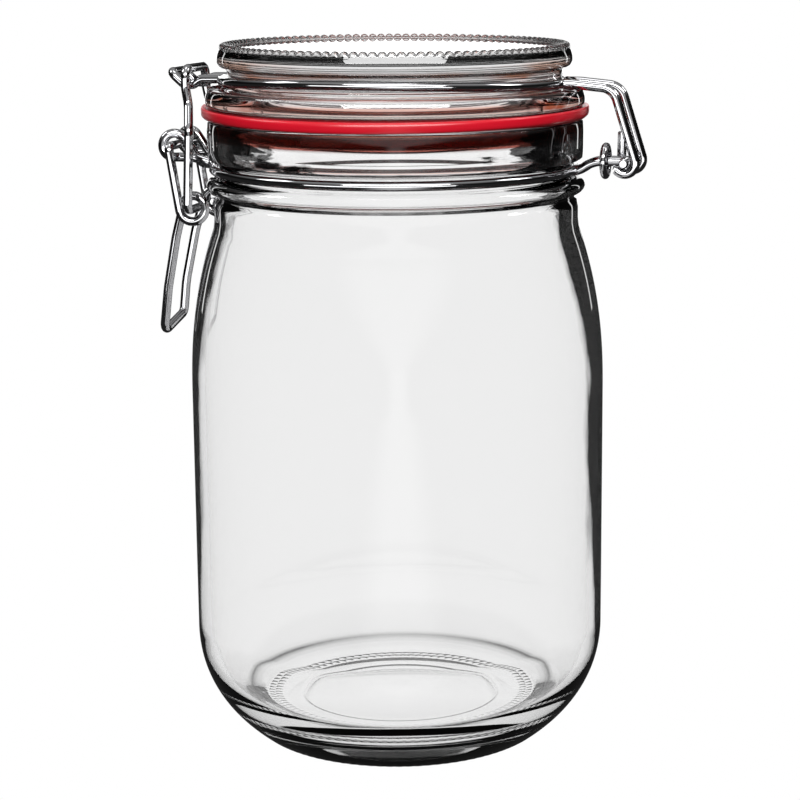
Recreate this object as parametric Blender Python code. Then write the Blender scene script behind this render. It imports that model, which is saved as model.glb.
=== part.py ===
"""A one litre clip top storage jar: glass jar and lid, rubber gasket and sprung wire closure.

Metres, +Z up. The origin is the centre of the base, on the surface the jar stands on.
The latch is at -X and the hinge at +X, so the closure is symmetric about the XZ plane
apart from the slant of the handle and the longer hook end on the +Y hinge arm.

Run it in Blender 4.5, from the text editor or with: blender --background --python part.py
"""

import math

import bmesh
import bpy
from mathutils import Vector

# ---- Driving dimensions, in millimetres -------------------------------------------------
MM = 0.001

TURN_STEPS = 48  # facets round the glass and the gasket
FIT_GAP = 0.3  # clearance between pieces that touch

# Jar glass
BODY_RADIUS = 53.7
BASE_RING = (33.0, 38.0)  # inner and outer radius of the flat ring the jar stands on
PUNT_HEIGHT = 1.2  # how far the centre of the underside is pushed up
PUNT_SEAM_RADIUS = 26.3
HEEL_KNEE = 11.4  # height at which the heel's curve is pulled out to the body's radius
HEEL_TOP = 28.6
SHOULDER_FOOT = 92.0
SHOULDER_TOP = 134.6
SHOULDER_POWER = 2.25
NECK_RADIUS = 46.9
RING_RADIUS = 48.8  # the bead under the wire groove
RIM_RADIUS = 48.3
RIM_TOP = 161.85
MOUTH_RADIUS = 42.2
MOUTH_FLARE = 0.7  # the mouth widens by this much under its edge
NECK_INNER_RADIUS = 43.4
WALL = 3.3
FLOOR_Z = 8.8
GROOVE_Z = 149.3  # centre of the neck wire
GROOVE_RADIUS = 45.3

# Gasket
GASKET_RADII = (41.7, 49.6)
GASKET_Z = (RIM_TOP + FIT_GAP, RIM_TOP + FIT_GAP + 2.7)

# Lid glass
LID_SEAL_Z = GASKET_Z[1] + FIT_GAP
FLANGE_RADIUS = 48.6
FLANGE_TOP = 169.8
WAIST_RADIUS = 42.7
DISC_RADIUS = 45.4
DISC_FOOT = 174.8
DISC_TOP = 179.9
LID_TOP = 181.0  # top of the raised ring round the disc
PLUG_RADIUS = 40.9
PLUG_FOOT = 157.2
RECESS_RADIUS = 37.0
RECESS_TOP = 174.3

# Wire, all of one gauge but the collar
WIRE_RADIUS = 1.2
COLLAR_WIRE_RADIUS = 0.9
NECK_WIRE_CIRCLE = GROOVE_RADIUS + FIT_GAP + WIRE_RADIUS
LID_WIRE_CIRCLE = WAIST_RADIUS + FIT_GAP + WIRE_RADIUS
LID_WIRE_Z = FLANGE_TOP + FIT_GAP + WIRE_RADIUS  # at the sides
LID_WIRE_RISE = 1.6  # and this much higher in front and at the back

# Hinge: the lid wire's arms hook round the neck wire's cross ends
HINGE_X, HINGE_Z = 60.7, 151.9
HOOK_RADIUS = 2 * WIRE_RADIUS + FIT_GAP
ARM_Y = 5.2
ARM_BEND = (57.7, 170.3)  # x and z of the corner where each arm turns down
ARM_LEAN = math.radians(18)
CROSS_END_Y = 7.6
RUN_Y = WIRE_RADIUS + 0.18
LONG_HOOK_TOP = (58.2, 159.0)
COLLAR_X = 54.9
COLLAR_RADIUS = 3.75

# Latch: pivot A carries the lever in the neck wire's eyes, pivot B the link in the lever's
# coils, and the link's crossbar C sits in the valley of the lid wire's hook.
PIVOT_A = (-58.4, 154.1)
EYE_RADIUS = 3.0
EYE_Y = (7.5, 4.9)  # where the eye's coil starts and ends
PIVOT_B = (-52.5, 137.9)
COIL_RADIUS = 3.3
COIL_Y = (10.2, 7.6)
PIN_END_Y = 3.2
HANDLE_TIP = {-1: (-62.6, 104.5), 1: (-61.8, 107.9)}  # the crossbar of the handle slants
HANDLE_Y = 6.3
LINK_Y = 13.0
LINK_TOP_Y = 7.4
CROSSBAR_C = (-54.3, 173.9)
HOOK_Y = 4.6
HOOK_VALLEY_Z = 169.7
HOOK_TIP = (-59.3, 172.9)

NEAR, FAR = -1, 1  # the two sides of the closure, as signs of Y


# ---- Outline and path helpers -----------------------------------------------------------
def curve_between(start, control, end, steps):
    """Points of a quadratic curve, without its first one."""
    points = []
    for i in range(1, steps + 1):
        t = i / steps
        points.append(
            tuple(
                (1 - t) ** 2 * a + 2 * t * (1 - t) * b + t * t * c
                for a, b, c in zip(start, control, end)
            )
        )
    return points


def shoulder(radius_below, radius_above, foot, top, steps):
    """The shoulder's points going up: it leaves the body slowly and meets the neck at an angle."""
    points = []
    for i in range(steps + 1):
        t = i / steps
        radius = radius_below - (radius_below - radius_above) * t**SHOULDER_POWER
        points.append((radius, foot + (top - foot) * t))
    return points


def rounded(corners, step_angle=24):
    """A path through the corners, each given as (x, y, z, bend radius), with an arc at each bend."""
    points = [Vector(corners[0][:3])]
    for before, here, after in zip(corners, corners[1:], corners[2:]):
        corner, radius = Vector(here[:3]), here[3]
        if not radius:
            points.append(corner)
            continue
        back = (Vector(before[:3]) - corner).normalized()
        onward = (Vector(after[:3]) - corner).normalized()
        turn = math.pi - back.angle(onward)
        setback = radius * math.tan(turn / 2)
        centre = corner + (back + onward).normalized() * (radius / math.cos(turn / 2))
        first = corner + back * setback - centre
        across = corner + onward * setback - centre
        steps = max(1, math.ceil(math.degrees(turn) / step_angle))
        side = (across - first * math.cos(turn)) / math.sin(turn)
        for i in range(steps + 1):
            angle = turn * i / steps
            points.append(centre + first * math.cos(angle) + side * math.sin(angle))
    points.append(Vector(corners[-1][:3]))
    return points


def flat_arc(radius, z, start, end, steps, rise=0.0):
    """Corners of an arc about the jar's axis, level or rising by so much towards its front and back."""
    angles = [start + (end - start) * i / steps for i in range(steps + 1)]
    return [(radius * math.cos(a), radius * math.sin(a), z + rise * math.sin(a) ** 2, 0) for a in angles]


def coil(centre, radius, start, end, y_start, y_end, steps):
    """Corners of a turn about a cross axis, creeping along Y. Angles run from +X towards +Z."""
    corners = []
    for i in range(steps + 1):
        t = i / steps
        angle = start + (end - start) * t
        corners.append(
            (
                centre[0] + radius * math.cos(angle),
                y_start + (y_end - y_start) * t,
                centre[1] + radius * math.sin(angle),
                0,
            )
        )
    return corners


def mirrored(points):
    return [Vector((p.x, -p.y, p.z)) for p in points]


# ---- Object helpers ---------------------------------------------------------------------
def clear_scene():
    for obj in list(bpy.data.objects):
        bpy.data.objects.remove(obj)


def finish_material(name, colour, roughness, metallic=0.0, alpha=1.0):
    material = bpy.data.materials.new(name)
    material.use_nodes = True
    shader = material.node_tree.nodes["Principled BSDF"]
    shader.inputs["Base Color"].default_value = (*colour, 1)
    shader.inputs["Roughness"].default_value = roughness
    shader.inputs["Metallic"].default_value = metallic
    shader.inputs["Alpha"].default_value = alpha
    return material


def turned(name, outline, material):
    """A solid turned about Z from an outline of (radius, z) whose ends are on the axis, or a closed ring."""
    on_axis = outline[0][0] == 0
    mesh = bmesh.new()
    points = [mesh.verts.new((r * MM, 0, z * MM)) for r, z in outline]
    pairs = list(zip(points, points[1:])) + ([] if on_axis else [(points[-1], points[0])])
    edges = [mesh.edges.new(pair) for pair in pairs]
    bmesh.ops.spin(
        mesh,
        geom=points + edges,
        axis=(0, 0, 1),
        cent=(0, 0, 0),
        angle=2 * math.pi,
        steps=TURN_STEPS,
        use_merge=True,
    )
    bmesh.ops.remove_doubles(mesh, verts=mesh.verts, dist=1e-6)
    bmesh.ops.recalc_face_normals(mesh, faces=mesh.faces)
    data = bpy.data.meshes.new(name)
    mesh.to_mesh(data)
    mesh.free()
    data.shade_smooth()
    data.set_sharp_from_angle(angle=math.radians(40))
    return place(bpy.data.objects.new(name, data), material)


def wire(name, points, material, radius=WIRE_RADIUS, closed=False, origin=(0, 0, 0)):
    """A bent wire along the points, with flat cut ends, or a closed ring."""
    data = bpy.data.curves.new(name, "CURVE")
    data.dimensions = "3D"
    data.bevel_depth = radius * MM
    data.bevel_resolution = 2
    data.use_fill_caps = True
    spline = data.splines.new("POLY")
    spline.points.add(len(points) - 1)
    spline.use_cyclic_u = closed
    spline.use_smooth = True
    for target, point in zip(spline.points, points):
        target.co = (*((Vector(point) - Vector(origin)) * MM), 1)
    obj = place(bpy.data.objects.new(name, data), material)
    obj.location = Vector(origin) * MM
    return obj


def place(obj, material):
    obj.data.materials.append(material)
    bpy.context.scene.collection.objects.link(obj)
    return obj


def axis_empty(name, x, z):
    empty = bpy.data.objects.new(name, None)
    empty.empty_display_size = 0.01
    empty.location = (x * MM, 0, z * MM)
    bpy.context.scene.collection.objects.link(empty)
    return empty


def carry(parent, *children):
    """Parents the children and leaves them where they are."""
    bpy.context.view_layer.update()
    for child in children:
        child.parent = parent
        child.matrix_parent_inverse = parent.matrix_world.inverted()


# ---- The glass and the gasket -----------------------------------------------------------
def jar_outline():
    inner, outer = BASE_RING
    outside = [
        (0, PUNT_HEIGHT),
        (PUNT_SEAM_RADIUS, PUNT_HEIGHT * 0.38),
        (inner, 0),
        (outer, 0),
        *curve_between((outer, 0), (BODY_RADIUS, HEEL_KNEE), (BODY_RADIUS, HEEL_TOP), 6),
        *shoulder(BODY_RADIUS, NECK_RADIUS, SHOULDER_FOOT, SHOULDER_TOP, 6),
        (NECK_RADIUS, 140.9),
        (NECK_RADIUS - 1.3, 142.0),
        (RING_RADIUS - 1.9, 142.8),
        (RING_RADIUS - 0.5, 143.7),
        (RING_RADIUS, 145.0),
        (RING_RADIUS - 0.6, 146.3),
        (RING_RADIUS - 1.9, 147.1),
        (GROOVE_RADIUS, GROOVE_Z - 1.5),
        (GROOVE_RADIUS, GROOVE_Z + 1.5),
        (RIM_RADIUS - 1.2, GROOVE_Z + 2.0),
        (RIM_RADIUS, GROOVE_Z + 2.9),
        (RIM_RADIUS, RIM_TOP - 0.8),
        (RIM_RADIUS - 0.8, RIM_TOP),
    ]
    body_inner = BODY_RADIUS - WALL
    inside = [
        (MOUTH_RADIUS + 0.7, RIM_TOP),
        (MOUTH_RADIUS, RIM_TOP - 0.8),
        (MOUTH_RADIUS + MOUTH_FLARE, RIM_TOP - 3.4),
        (MOUTH_RADIUS + MOUTH_FLARE, RIM_TOP - 4.4),
        (NECK_INNER_RADIUS, RIM_TOP - 8.5),
        *reversed(
            shoulder(body_inner, NECK_INNER_RADIUS, SHOULDER_FOOT - 1, SHOULDER_TOP - 1, 5)
        ),
        (body_inner, HEEL_TOP + 2),
        *curve_between((body_inner, HEEL_TOP + 2), (body_inner, 9.2), (32.0, 8.5), 6),
        (0, FLOOR_Z),
    ]
    return outside + inside


def lid_outline():
    """From the centre of the lid's top, out and down to the sealing face, and back under the recess."""
    ring_middle = DISC_RADIUS - 1.6
    return [
        (0, DISC_TOP),
        (ring_middle - 0.9, DISC_TOP),
        (ring_middle - 0.4, LID_TOP - 0.2),
        (ring_middle, LID_TOP),
        (ring_middle + 0.8, LID_TOP - 0.2),
        (DISC_RADIUS - 0.5, LID_TOP - 1.4),
        (DISC_RADIUS, LID_TOP - 3.2),
        (DISC_RADIUS, DISC_FOOT + 1.4),
        (DISC_RADIUS - 0.6, DISC_FOOT + 0.4),
        (WAIST_RADIUS + 0.6, DISC_FOOT),
        (WAIST_RADIUS, DISC_FOOT - 0.7),
        (WAIST_RADIUS, FLANGE_TOP),
        (FLANGE_RADIUS - 1.5, FLANGE_TOP),
        (FLANGE_RADIUS - 0.7, FLANGE_TOP - 0.5),
        (FLANGE_RADIUS, FLANGE_TOP - 2.3),
        (FLANGE_RADIUS, LID_SEAL_Z + 0.8),
        (FLANGE_RADIUS - 0.6, LID_SEAL_Z),
        (PLUG_RADIUS, LID_SEAL_Z),
        (PLUG_RADIUS - 0.2, RIM_TOP - 1.8),
        (PLUG_RADIUS - 0.9, PLUG_FOOT + 0.6),
        (PLUG_RADIUS - 1.5, PLUG_FOOT),
        (RECESS_RADIUS + 1.2, PLUG_FOOT),
        (RECESS_RADIUS + 0.5, PLUG_FOOT + 0.8),
        (RECESS_RADIUS, RECESS_TOP - 2.4),
        (RECESS_RADIUS - 1.4, RECESS_TOP - 0.5),
        (RECESS_RADIUS - 3.2, RECESS_TOP),
        (0, RECESS_TOP),
    ]


def gasket_outline():
    inner, outer = GASKET_RADII
    low, high = GASKET_Z
    return [
        (outer - 0.4, high),
        (outer, high - 0.5),
        (outer, low + 0.5),
        (outer - 0.4, low),
        (inner, low),
        (inner, high),
    ]


# ---- The wires --------------------------------------------------------------------------
def neck_wire_path():
    """One wire: a cross end of the hinge, round the neck, an eye of the latch, and back by the other side."""
    run_z = PIVOT_A[1] - EYE_RADIUS
    ring, groove = NECK_WIRE_CIRCLE, GROOVE_Z
    out_of_hinge = math.asin(5.6 / ring)
    to_latch = math.pi - math.asin(11.5 / ring)
    leave_eye = math.radians(35)
    eye_end = (
        PIVOT_A[0] + EYE_RADIUS * math.cos(leave_eye),
        PIVOT_A[1] + EYE_RADIUS * math.sin(leave_eye),
    )
    fall = eye_end[1] - groove
    start = rounded(
        [
            (HINGE_X, -CROSS_END_Y, HINGE_Z, 0),
            (HINGE_X, -RUN_Y, HINGE_Z, 1.7),
            (COLLAR_X - 3, -RUN_Y, HINGE_Z, 8),
            (ring + 1.5, -RUN_Y, groove, 5),
            (ring, -RUN_Y, groove, 0.9),
            *flat_arc(ring, groove, -out_of_hinge, -to_latch, 25),
            (-math.sqrt(ring**2 - EYE_Y[0] ** 2), -EYE_Y[0], groove, 2.6),
            (PIVOT_A[0] + 6, -EYE_Y[0], run_z, 8),
            *coil(
                PIVOT_A,
                EYE_RADIUS,
                math.radians(270),
                leave_eye,
                -EYE_Y[0],
                -EYE_Y[1],
                10,
            ),
            (eye_end[0] + fall * math.tan(leave_eye), -EYE_Y[1], groove, 3.0),
            (-ring, -EYE_Y[1], groove, 2.4),
            (-ring - 0.1, 0, groove, 0),
        ]
    )
    return start[:-1] + mirrored(start)[::-1][1:]


def collar_path():
    """A closed ring that holds the neck wire's two runs together behind the hinge."""
    return [
        (
            COLLAR_X,
            COLLAR_RADIUS * math.cos(math.tau * i / 20),
            HINGE_Z + COLLAR_RADIUS * math.sin(math.tau * i / 20),
        )
        for i in range(20)
    ]


def lid_wire_half(side):
    """From the end of the hook round the hinge bar to the middle of the latch hook's tip."""
    circle, z = LID_WIRE_CIRCLE, LID_WIRE_Z
    y = side * ARM_Y
    hinge = (HINGE_X, HINGE_Z)
    if side == FAR:
        hook_end = math.radians(-180)
        beginning = [(*LONG_HOOK_TOP[:1], y, LONG_HOOK_TOP[1], 0)]
    else:
        hook_end = math.radians(-152)
        beginning = []
    hook = coil(hinge, HOOK_RADIUS, hook_end, ARM_LEAN, y, y, 8)
    leave, arrive = math.asin(9.4 / circle), math.pi - math.asin(8.8 / circle)
    slot = side * HOOK_Y
    return rounded(
        beginning
        + hook
        + [
            (ARM_BEND[0], y, ARM_BEND[1], 4.5),
            (circle + 3, y, z, 6),
            (math.sqrt(circle**2 - ARM_Y**2), y, z, 2.4),
            *flat_arc(circle, z, side * leave, side * arrive, 22, LID_WIRE_RISE),
            (-math.sqrt(circle**2 - HOOK_Y**2), slot, z, 2.6),
            (-51.0, slot, 171.2, 2.6),
            (-53.2, slot, HOOK_VALLEY_Z, 1.6),
            (-55.7, slot, HOOK_VALLEY_Z, 1.8),
            (*HOOK_TIP[:1], slot, HOOK_TIP[1], 1.8),
            (*HOOK_TIP[:1], 0, HOOK_TIP[1], 0),
        ]
    )


def lever_half(side):
    """From the pin in the eye, down the arm, once round the coil, and down the handle to its middle."""
    reach = (PIVOT_B[0] - PIVOT_A[0], PIVOT_B[1] - PIVOT_A[1])
    lean = math.atan2(reach[0], -reach[1]) - math.asin(COIL_RADIUS / math.hypot(*reach))
    outward = math.radians(20)
    tip, other = HANDLE_TIP[side], HANDLE_TIP[-side]
    return rounded(
        [
            (PIVOT_A[0], side * PIN_END_Y, PIVOT_A[1], 0),
            (PIVOT_A[0], side * COIL_Y[0], PIVOT_A[1], 1.6),
            *coil(
                PIVOT_B,
                COIL_RADIUS,
                math.pi + lean,
                3 * math.pi - outward,
                side * COIL_Y[0],
                side * COIL_Y[1],
                14,
            ),
            (-58.2, side * 7.1, 130.0, 14),
            (-61.0, side * 6.6, 116.5, 18),
            (tip[0], side * HANDLE_Y, tip[1], 2.0),
            ((tip[0] + other[0]) / 2, 0, (tip[1] + other[1]) / 2, 0),
        ]
    )


def link_half(side):
    """From the pin in the lever's coil, up the leg, and along the crossbar to its middle."""
    return rounded(
        [
            (PIVOT_B[0], side * 6.0, PIVOT_B[1], 0),
            (PIVOT_B[0], side * LINK_Y, PIVOT_B[1], 1.6),
            (-51.6, side * LINK_Y, 158.5, 4.0),
            (-53.5, side * 7.7, 164.7, 4.0),
            (-54.3, side * LINK_TOP_Y, 169.0, 6.0),
            (CROSSBAR_C[0], side * LINK_TOP_Y, CROSSBAR_C[1], 2.4),
            (CROSSBAR_C[0], 0, CROSSBAR_C[1], 0),
        ]
    )


def whole(half):
    """Both halves of a wire, joined at the middle."""
    return half(NEAR)[:-1] + half(FAR)[::-1]


# ---- The jar ----------------------------------------------------------------------------
def build():
    clear_scene()
    glass = finish_material("clear_glass", (0.93, 0.95, 0.95), 0.03, alpha=0.35)
    rubber = finish_material("red_rubber", (0.65, 0.01, 0.02), 0.45)
    steel = finish_material("bright_steel_wire", (0.78, 0.78, 0.79), 0.15, metallic=1.0)

    turned("jar_glass", jar_outline(), glass)
    wire("neck_wire", neck_wire_path(), steel)
    wire("neck_wire_collar", collar_path(), steel, COLLAR_WIRE_RADIUS, closed=True)

    lid_axis = axis_empty("lid_axis", HINGE_X, HINGE_Z)
    carry(
        lid_axis,
        turned("lid_glass", lid_outline(), glass),
        turned("gasket", gasket_outline(), rubber),
        wire("lid_wire", whole(lid_wire_half), steel),
    )

    lever_origin = (PIVOT_A[0], 0, PIVOT_A[1])
    link_origin = (PIVOT_B[0], 0, PIVOT_B[1])
    lever = wire("lever_wire", whole(lever_half), steel, origin=lever_origin)
    link = wire("link_wire", whole(link_half), steel, origin=link_origin)
    carry(lever, link)


build()
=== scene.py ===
"""The looks of a one litre clip top jar: clear glass, a red rubber ring and bright drawn wire.

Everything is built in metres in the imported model's frame: the jar's axis is Z, it stands on z = 0,
its hinge is at +X and its clip at -X. Sizes are written in millimetres and turned to metres by MM.
"""

import math

import bpy
from mathutils import Matrix, Vector


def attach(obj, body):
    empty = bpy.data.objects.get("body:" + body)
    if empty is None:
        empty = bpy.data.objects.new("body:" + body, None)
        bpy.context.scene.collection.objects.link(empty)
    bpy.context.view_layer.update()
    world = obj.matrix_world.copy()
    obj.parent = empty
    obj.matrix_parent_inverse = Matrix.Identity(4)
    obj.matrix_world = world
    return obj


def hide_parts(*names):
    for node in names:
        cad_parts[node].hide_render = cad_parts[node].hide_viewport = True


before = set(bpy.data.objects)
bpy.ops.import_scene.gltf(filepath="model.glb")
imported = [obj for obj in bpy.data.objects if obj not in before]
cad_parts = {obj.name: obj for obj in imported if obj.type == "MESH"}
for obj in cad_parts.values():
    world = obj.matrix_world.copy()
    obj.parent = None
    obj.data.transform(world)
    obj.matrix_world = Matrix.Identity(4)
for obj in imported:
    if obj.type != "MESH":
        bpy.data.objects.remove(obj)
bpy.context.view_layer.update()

# ---- The set: camera, paper floor and studio light ---------------------------------------
# White paper, so brightly lit that the jar has no shadow on it. What is seen through the glass is
# that paper, and what the glass and the wire mirror is a darker room with large softboxes in it.
MM = 0.001
CAMERA_AZIMUTH = math.radians(16)  # from straight in front, towards the hinge
CAMERA_DISTANCE = 593.3 * MM  # from the jar's axis, level
CAMERA_HEIGHT = 211.6 * MM
CAMERA_PITCH = math.radians(11.81)
CAMERA_YAW = math.radians(1.88)
CAMERA_ROLL = math.radians(0.16)
LENS_SHIFT = -0.0903  # sideways, in widths of the view
SENSOR_MM = 36
FOCAL_MM = 103.55
SKY_RISES, SKY_LIGHT = (0.3, 0.8), (0.01, 0.5)  # what is mirrored: heights, and light at each
PAPER_ENDS, PAPER_LIGHT = (0.42, 0.6), (1.0, 0.03)  # the same for what is seen through the glass
LOBE_LIGHT = 0.8
FAN_MIDDLE = 1.3  # over 1, so that a fan of light has a flat middle
FAN_WAIST = 0.6  # metres before the jar, where the fan on the floor is narrowest
FLOOR_FAN_STARTS = (60 * MM, 120 * MM)
FLOOR_LIGHT = (0.03, 1.0)  # outside the fan and in it
FLOOR_SIZE = 6.0
FLOOR_DROP = 0.05 * MM  # keeps the paper clear of the jar's foot
AIM_HEIGHT = 90 * MM
SOFTBOX_DISTANCE = 1.3
SOFTBOXES = {  # azimuth and elevation in degrees, width and height in metres, brightness
    "softbox_front": (16, 36, 1.4, 0.3, 16.0),
    "softbox_left": (-80, 42, 0.3, 0.4, 9.0),
    "softbox_right": (108, 42, 0.3, 0.4, 9.0),
    "backdrop": (196, 6, 0.7, 0.6, 1.7),
    "strip_back_left": (232, 8, 0.05, 0.9, 2.5),
    "strip_back_right": (160, 8, 0.05, 0.9, 2.5),
    "softbox_top": (0, 88, 0.5, 0.5, 3.0),
}
MATH, RANGE, MIX = "ShaderNodeMath", "ShaderNodeMapRange", "ShaderNodeMix"
SPLIT = "ShaderNodeSeparateXYZ"
SMOOTH = "SMOOTHSTEP"


def place_camera():
    """A long lens a little above the lid, turned and shifted to frame the jar."""
    camera = bpy.data.objects.new("camera", bpy.data.cameras.new("camera"))
    camera.data.sensor_width = SENSOR_MM
    camera.data.lens = FOCAL_MM
    camera.data.shift_x = LENS_SHIFT
    camera.data.clip_start = 0.01
    turn = (
        Matrix.Rotation(CAMERA_AZIMUTH - CAMERA_YAW, 4, "Z")
        @ Matrix.Rotation(math.pi / 2 - CAMERA_PITCH, 4, "X")
        @ Matrix.Rotation(-CAMERA_ROLL, 4, "Z")
    )
    spot = Vector((math.sin(CAMERA_AZIMUTH), -math.cos(CAMERA_AZIMUTH), 0)) * CAMERA_DISTANCE
    spot.z = CAMERA_HEIGHT
    camera.matrix_world = Matrix.Translation(spot) @ turn
    bpy.context.scene.collection.objects.link(camera)
    bpy.context.scene.camera = camera


def add_node(tree, kind, *values, named=None, **settings):
    """Adds a node with its settings, and fills its sockets in their order or by their names.

    A value is a plain one, a socket to link from, or a node, which stands for its first output.
    """
    node = tree.nodes.new(kind)
    for setting, choice in settings.items():
        setattr(node, setting, choice)
    in_use = [socket for socket in node.inputs if socket.enabled]
    by_name = [(node.inputs[name], value) for name, value in (named or {}).items()]
    for socket, value in [*zip(in_use, values), *by_name]:
        if isinstance(value, bpy.types.Node):
            value = next(output for output in value.outputs if output.enabled)
        if isinstance(value, bpy.types.NodeSocket):
            tree.links.new(value, socket)
        else:
            socket.default_value = value
    return node


def empty_tree(owner):
    """The node tree of a material or a world, with nothing in it yet."""
    owner.use_nodes = True
    owner.node_tree.nodes.clear()
    return owner.node_tree


def towards_camera(tree, place):
    """Splits a place or a direction into forward, on the camera's side, its slant, and up."""
    aligned = add_node(
        tree,
        "ShaderNodeVectorRotate",
        named={"Vector": place, "Angle": -CAMERA_AZIMUTH},
        rotation_type="Z_AXIS",
    )
    aside, behind, up = add_node(tree, SPLIT, aligned).outputs
    ahead = add_node(tree, MATH, behind, -1.0, operation="MULTIPLY")
    forward = add_node(tree, MATH, ahead, 0.001, operation="MAXIMUM")
    width = add_node(tree, MATH, aside, operation="ABSOLUTE")
    slant = add_node(tree, MATH, width, forward, operation="DIVIDE")
    return forward, slant, up


def fan(tree, slant, over_zero, spread_per_unit, least_spread):
    """How much a slant is inside a fan of light that spreads as the value over zero grows."""
    grown = add_node(tree, MATH, over_zero, 0.0, operation="MAXIMUM")
    grown = add_node(tree, MATH, grown, spread_per_unit, operation="MULTIPLY")
    spread = add_node(tree, MATH, grown, least_spread, operation="ADD")
    outwards = add_node(tree, MATH, slant, spread, operation="DIVIDE")
    return add_node(tree, MATH, FAN_MIDDLE, outwards, operation="SUBTRACT")


def light_room():
    """The world: white to the camera and through the glass, and a dim room in reflections.

    Its sky has a brighter fan over the camera, which gives the glass a tall, soft highlight.
    """
    world = bpy.data.worlds.new("studio")
    bpy.context.scene.world = world
    tree = empty_tree(world)
    path = add_node(tree, "ShaderNodeLightPath").outputs
    direction = add_node(tree, "ShaderNodeTexCoord").outputs["Generated"]
    height = add_node(tree, SPLIT, direction).outputs["Z"]
    sky = add_node(tree, RANGE, height, *SKY_RISES, *SKY_LIGHT)
    _, slant, up = towards_camera(tree, direction)
    share = fan(tree, slant, up, spread_per_unit=1.6, least_spread=0.12)
    lobe = add_node(tree, RANGE, share, 0.0, 1.0, 0.0, LOBE_LIGHT, interpolation_type=SMOOTH)
    glow = add_node(tree, MATH, sky, lobe, operation="MAXIMUM")
    mirrored = add_node(tree, "ShaderNodeBackground", glow)
    paper = add_node(tree, "ShaderNodeBackground", (1, 1, 1, 1))
    behind = add_node(tree, RANGE, height, *PAPER_ENDS, *PAPER_LIGHT)
    through = add_node(tree, "ShaderNodeBackground", behind)
    seen = add_node(tree, "ShaderNodeMixShader", path["Is Camera Ray"], mirrored, paper)
    lit = add_node(tree, "ShaderNodeMixShader", path["Is Transmission Ray"], seen, through)
    add_node(tree, "ShaderNodeOutputWorld", lit)


def lay_floor():
    """White paper that shines by itself, and in reflections only in a fan before the jar."""
    mesh = bpy.data.meshes.new("paper_floor")
    corners = [(x * FLOOR_SIZE, y * FLOOR_SIZE, 0) for x, y in ((-1, -1), (1, -1), (1, 1), (-1, 1))]
    mesh.from_pydata(corners, [], [(0, 1, 2, 3)])
    floor = bpy.data.objects.new("paper_floor", mesh)
    floor.location.z = -FLOOR_DROP
    material = bpy.data.materials.new("white paper, overexposed")
    tree = empty_tree(material)
    path = add_node(tree, "ShaderNodeLightPath").outputs
    where = add_node(tree, "ShaderNodeTexCoord").outputs["Object"]
    forward, slant, _ = towards_camera(tree, where)
    waist = add_node(tree, MATH, FAN_WAIST, forward, operation="SUBTRACT")
    share = fan(tree, slant, waist, spread_per_unit=0.6, least_spread=0.1)
    clear_of_jar = add_node(tree, RANGE, forward, *FLOOR_FAN_STARTS, 0.0, 1.0)
    share = add_node(tree, MATH, share, clear_of_jar, operation="MULTIPLY")
    glow = add_node(tree, RANGE, share, 0.0, 1.0, *FLOOR_LIGHT, interpolation_type=SMOOTH)
    level = add_node(tree, MIX, path["Is Camera Ray"], glow, 1.0)
    shade = add_node(tree, MIX, path["Is Transmission Ray"], level, 1.0)
    shine = add_node(tree, "ShaderNodeEmission", named={"Strength": shade})
    add_node(tree, "ShaderNodeOutputMaterial", shine)
    mesh.materials.append(material)
    bpy.context.scene.collection.objects.link(floor)


def hang_softbox(name, azimuth, elevation, width, height, brightness, distance=SOFTBOX_DISTANCE):
    """A softbox that only the rubber and the reflections see, aimed at the middle of the jar."""
    light = bpy.data.lights.new(name, "AREA")
    light.shape = "RECTANGLE"
    light.size = width
    light.size_y = height
    light.energy = brightness * math.pi * width * height  # as bright at any size
    box = bpy.data.objects.new(name, light)
    turn, rise = math.radians(azimuth), math.radians(elevation)
    level = math.cos(rise)
    away = Vector((math.sin(turn) * level, -math.cos(turn) * level, math.sin(rise)))
    box.location = away * distance + Vector((0, 0, AIM_HEIGHT))
    box.rotation_mode = "QUATERNION"
    box.rotation_quaternion = away.to_track_quat("Z", "Y")
    box.visible_camera = False
    box.visible_transmission = False
    bpy.context.scene.collection.objects.link(box)
    return box


place_camera()
light_room()
lay_floor()
softboxes = {name: hang_softbox(name, *setting) for name, setting in SOFTBOXES.items()}
bpy.context.scene.view_settings.view_transform = "Standard"

# ---- The jar's glass ----------------------------------------------------------------------
# One pressed and blown piece of clear soda-lime glass. The neck has a bead under a groove for the
# wire, and a ground flat rim; the base is pushed up inside a ring that is knurled where it stands.
GLASS_STEPS = 480
LID_TOP = 181.0
BODY_RADIUS = 53.7
BASE_RING = (33.0, 38.0)
BASE_RING_STEPS = 10
KNURL_ROWS, KNURL_COUNT, KNURL_DEPTH = (34.3, 36.8), 96, 0.35
KNURL_REACH, KNURL_SHARPNESS = 1.1, 2.5
PUNT_HEIGHT = 1.2
SEAM_RADIUS, SEAM_WIDTH, SEAM_DEPTH = 26.3, 0.3, 0.15
HEEL_KNEE, HEEL_TOP = 11.4, 28.6
SHOULDER_FOOT, SHOULDER_TOP, SHOULDER_POWER = 92.0, 134.6, 2.25
NECK_RADIUS = 46.9
RING_RADIUS, RING_Z = 48.8, 145.0
RIM_RADIUS, RIM_TOP = 48.3, 161.85
MOUTH_RADIUS, MOUTH_FLARE, NECK_INNER_RADIUS = 42.2, 0.7, 43.4
WALL = 3.3
FLOOR_Z, FLOOR_RADIUS, FLOOR_EDGE_Z = 8.8, 32.0, 8.5
GROOVE_Z, GROOVE_RADIUS = 149.3, 45.3
GROOVE_HALF = 1.4
SHARP_ANGLE = math.radians(50)
GLASS_IOR = 1.52
GLASS_DEPTH, GLASS_DENSITY = "9d9e9e", 3.0  # the grey of very thick glass
# The dark outline is painted shade, painted where the glass's faces turn away, thinner by height and
# side.
PAINTED_OUTLINE_DARK, PAINTED_OUTLINE_BLUR = "050505", 0.06
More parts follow.
